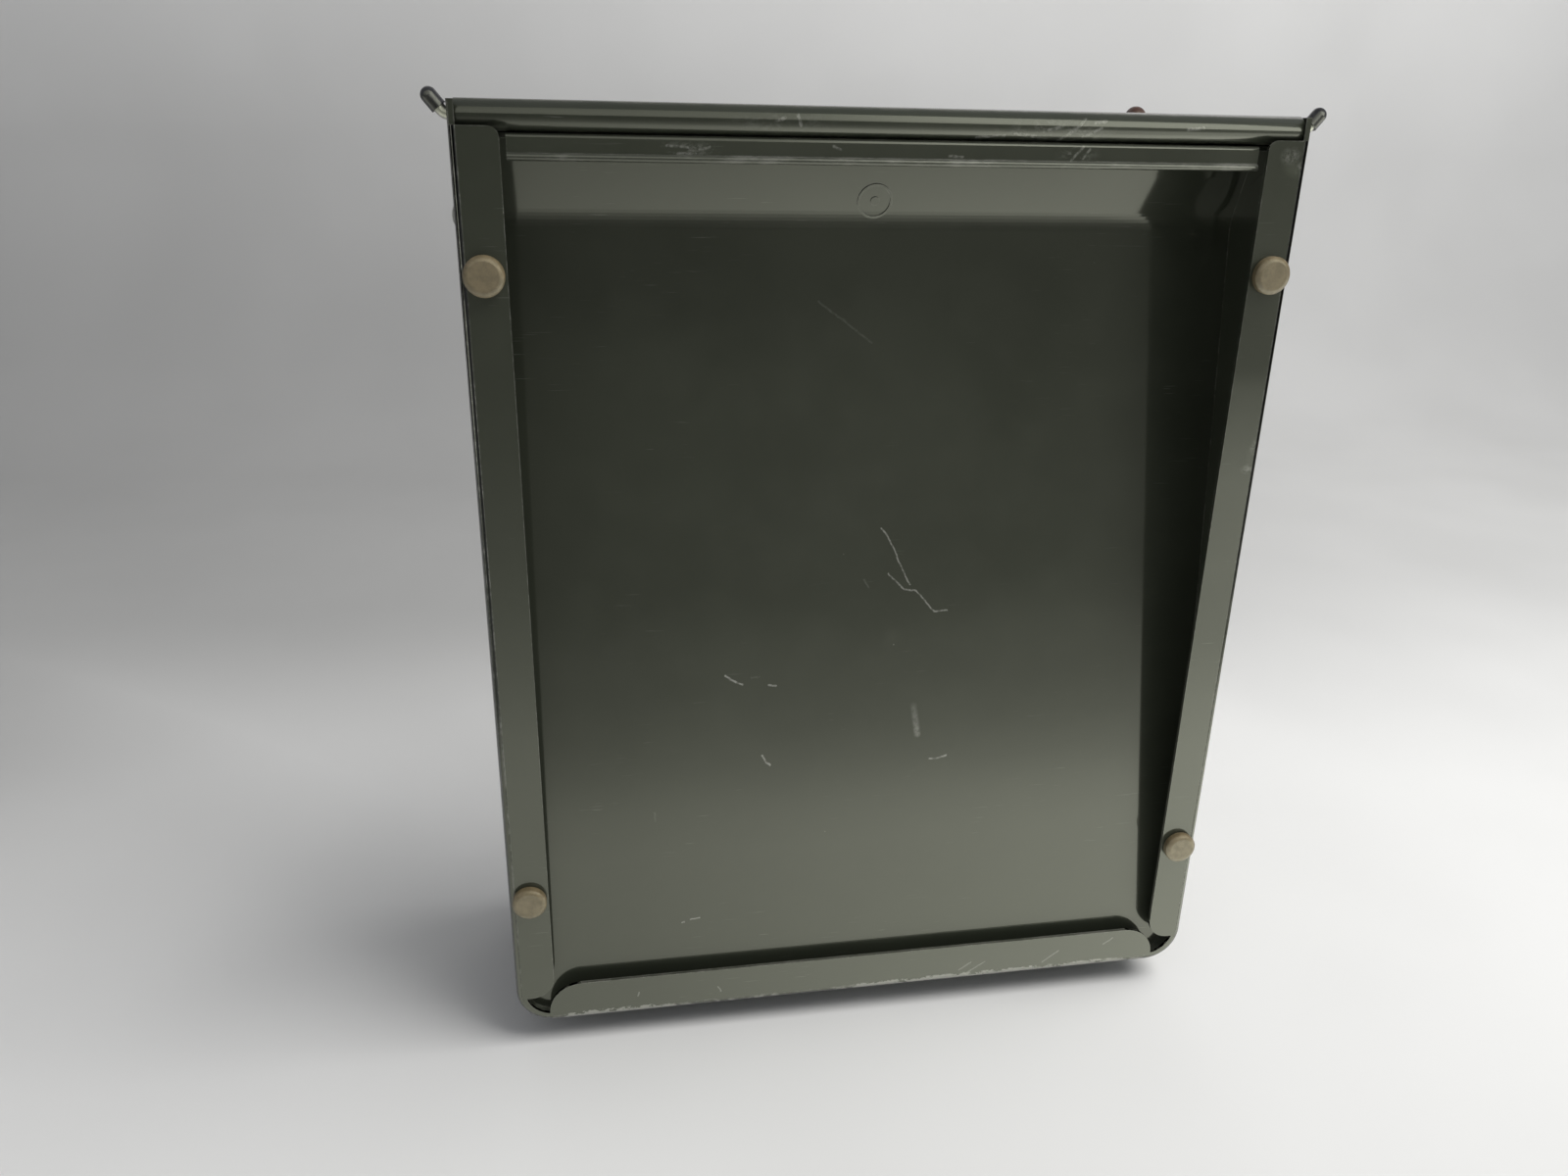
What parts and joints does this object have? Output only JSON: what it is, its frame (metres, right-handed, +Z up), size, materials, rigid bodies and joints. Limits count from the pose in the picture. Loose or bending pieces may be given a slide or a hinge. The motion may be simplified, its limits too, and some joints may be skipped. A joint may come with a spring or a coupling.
{
  "type": "book drop box",
  "caption": "Slim sheet-steel book drop box with a recessed back, wall bumpers, a lift lid on a capped hinge rod and a lockable emptying door.",
  "frame": {"origin": "centre of the overall box in X and Y, on the plane that the four feet stand on", "axes": "+Z up; -Y towards the wall side with the recessed back and its bumpers; +Y towards the emptying door and the lid pull; +X to the right when looking along +Y at the recessed back"},
  "size_m": [0.2638, 0.1022, 0.3166],
  "materials": {
    "paint": "dark olive grey-green semi-gloss enamel, worn",
    "zinc": "dull zinc plate",
    "lock_chrome": "worn nickel",
    "lock_brass": "brushed",
    "black_vinyl": "glossy dip",
    "tan_rubber": "aged, slightly shiny",
    "brown_rubber": "aged",
    "black_rubber": "matt",
    "nylon": "natural",
    "aged_brass": "dull",
    "card": "blank card"
  },
  "bodies": {
    "case": {"case_wrap": "paint", "back_pan": "paint", "top_rail": "paint", "front_panel": "paint", "hinge_rod": "zinc", "rod_caps": "black_vinyl", "wall_bumpers": "tan_rubber", "doubler_discs": "paint", "disc_rivets": "zinc", "rail_rivets": "zinc", "side_rivets": "zinc", "base_feet": "black_rubber", "foot_screws": "zinc", "floor_mat": "black_rubber", "lid_buffers": "black_rubber", "hinge_case_leaf": "zinc", "hinge_pin": "zinc", "case_leaf_rivets": "zinc", "label_frame": "aged_brass", "label_card": "card", "label_rivets": "aged_brass"},
    "lid": {"lid_panel": "paint", "lid_stiffener": "paint", "rod_bushes": "nylon", "lid_pull": "paint", "pull_rivets": "zinc", "lid_bumper": "brown_rubber"},
    "door": {"door_panel": "paint", "door_stiffener": "paint", "hinge_door_leaf": "zinc", "door_leaf_rivets": "zinc", "lock_housing": "lock_chrome", "lock_nut": "zinc"},
    "lock": {"lock_plug": "lock_brass", "lock_cam": "zinc", "cam_screw": "zinc"}
  },
  "joints": [
    {"name": "lid_hinge", "type": "hinge", "parent": "case", "child": "lid", "pos_m": [0, -0.04225, 0.30965], "axis": [1, 0, 0], "range_deg": [0, 90]},
    {"name": "door_hinge", "type": "hinge", "parent": "case", "child": "door", "pos_m": [0.102, 0.041, 0.15], "axis": [0, 0, -1], "range_deg": [0, 110]},
    {"name": "lock_turn", "type": "hinge", "parent": "door", "child": "lock", "pos_m": [-0.076, 0.0381, 0.15], "axis": [0, -1, 0], "range_deg": [0, 90]}
  ]
}
